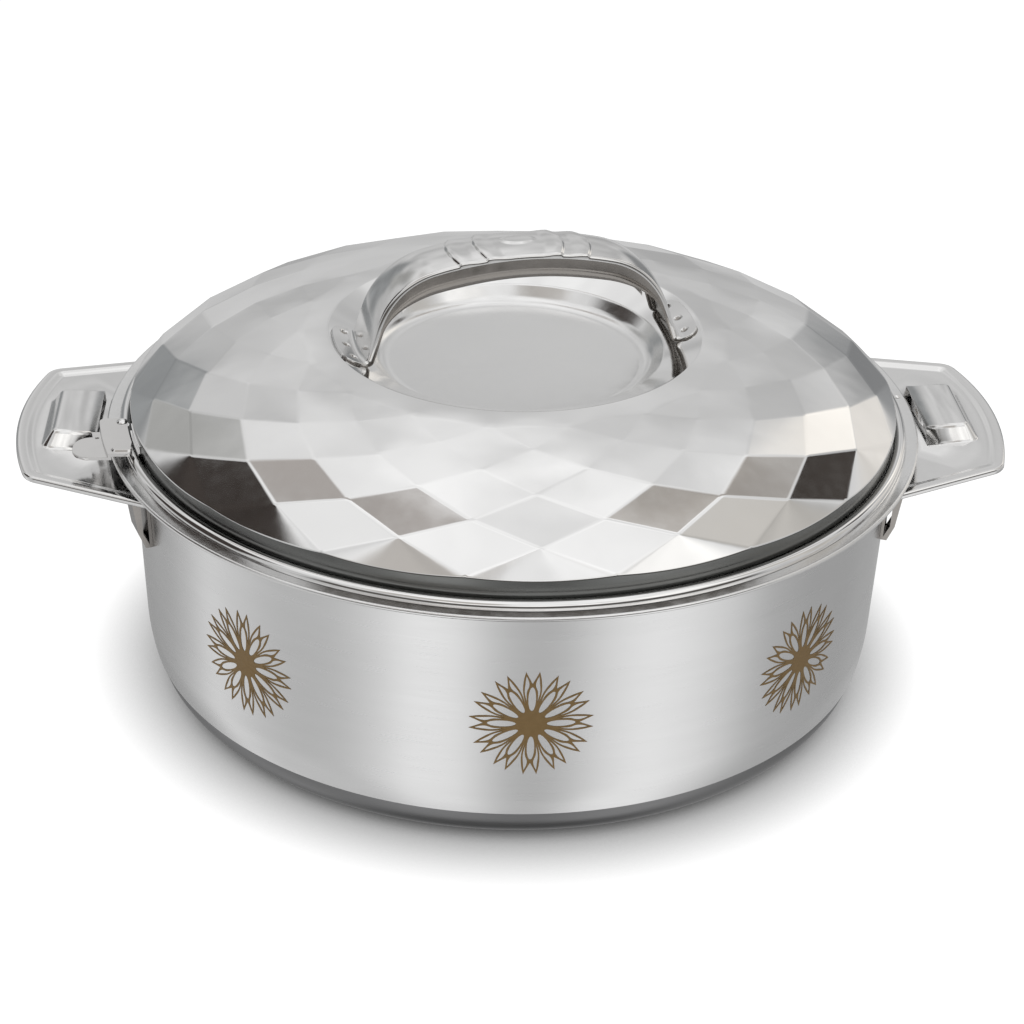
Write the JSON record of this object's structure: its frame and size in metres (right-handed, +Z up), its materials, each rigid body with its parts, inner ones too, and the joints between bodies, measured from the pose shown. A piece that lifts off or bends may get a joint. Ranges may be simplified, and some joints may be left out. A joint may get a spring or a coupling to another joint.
{
  "type": "insulated chapati casserole",
  "caption": "Round double-walled steel serving casserole: insulated bowl, faceted lift-off lid with an arched handle, wing-shaped side handles and a small swivel latch on the rim.",
  "frame": {"origin": "centre of the base, on the surface that the pot stands on", "axes": "+Z up, X through the two side handles with the latch at -X, Y across, the latch's free end towards -Y"},
  "size_m": [0.3124, 0.256, 0.1426],
  "materials": {
    "polished_steel": "polished stainless steel",
    "satin_steel": "satin stainless steel",
    "dark_satin_steel": "satin stainless steel, darker band",
    "foam": "rigid insulating foam"
  },
  "bodies": {
    "pot": {"outer_shell": "satin_steel", "base_cap": "dark_satin_steel", "inner_bowl": "polished_steel", "rim_ring": "polished_steel", "pot_insulation": "foam", "side_handle_left": "polished_steel", "side_handle_right": "polished_steel", "handle_leg_left_front": "polished_steel", "handle_leg_left_back": "polished_steel", "handle_leg_right_front": "polished_steel", "handle_leg_right_back": "polished_steel", "latch_rivet": "polished_steel", "latch_washer": "polished_steel", "rim_rivet": "polished_steel"},
    "latch": {"latch_lever": "polished_steel"},
    "lid": {"lid_dome": "polished_steel", "lid_liner": "satin_steel", "lid_insulation": "foam", "lid_handle_strap": "polished_steel", "lid_handle_liner": "satin_steel", "lid_lug": "polished_steel"}
  },
  "joints": [
    {"name": "lid_lift", "type": "slide", "parent": "pot", "child": "lid", "axis": [0, 0, 1], "range_m": [0, 0.12]},
    {"name": "latch_swing", "type": "hinge", "parent": "pot", "child": "latch", "pos_m": [-0.12218, -0.015, 0.0882], "axis": [0, 0, 1], "range_deg": [-60, 0]}
  ]
}
